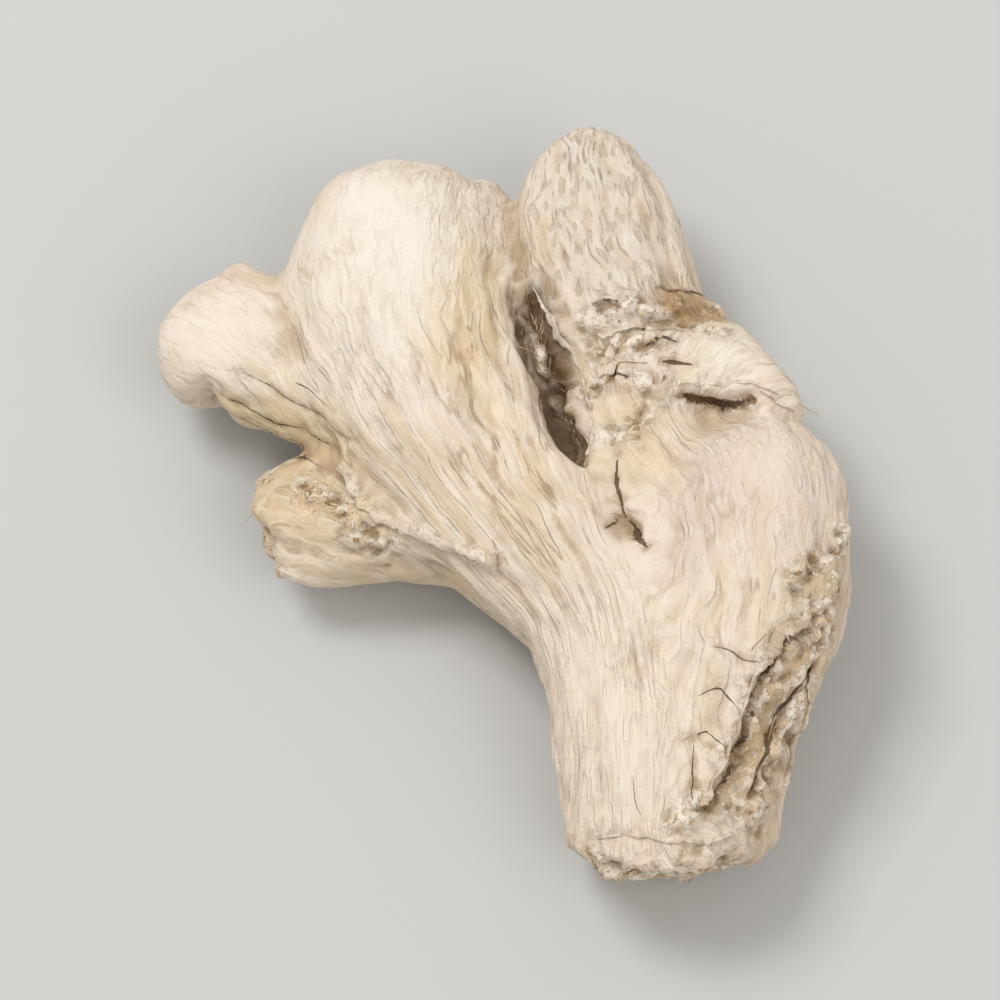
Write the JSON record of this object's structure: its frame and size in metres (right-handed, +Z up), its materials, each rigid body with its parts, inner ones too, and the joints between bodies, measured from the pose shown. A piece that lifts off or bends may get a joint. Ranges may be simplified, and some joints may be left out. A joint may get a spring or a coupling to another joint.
{
  "type": "ginger root",
  "caption": "Whole dried ginger rhizome: a flattened, branched hand of blunt lobes with a torn cleft, crumbly scars and a broken foot. It lies on its flatter side.",
  "frame": {"origin": "middle of the root's outline seen from above, at the height of the surface that it lies on", "axes": "+Y along the root from its broken foot to the tip of its longest finger, +Z up through its thickness, +X towards the lobe beside the finger"},
  "size_m": [0.0656, 0.075, 0.0198],
  "materials": {
    "dried_skin": "chalky, matt, wrinkled along the lobes"
  },
  "bodies": {
    "root": {"ginger_root": "dried_skin"}
  },
  "joints": []
}
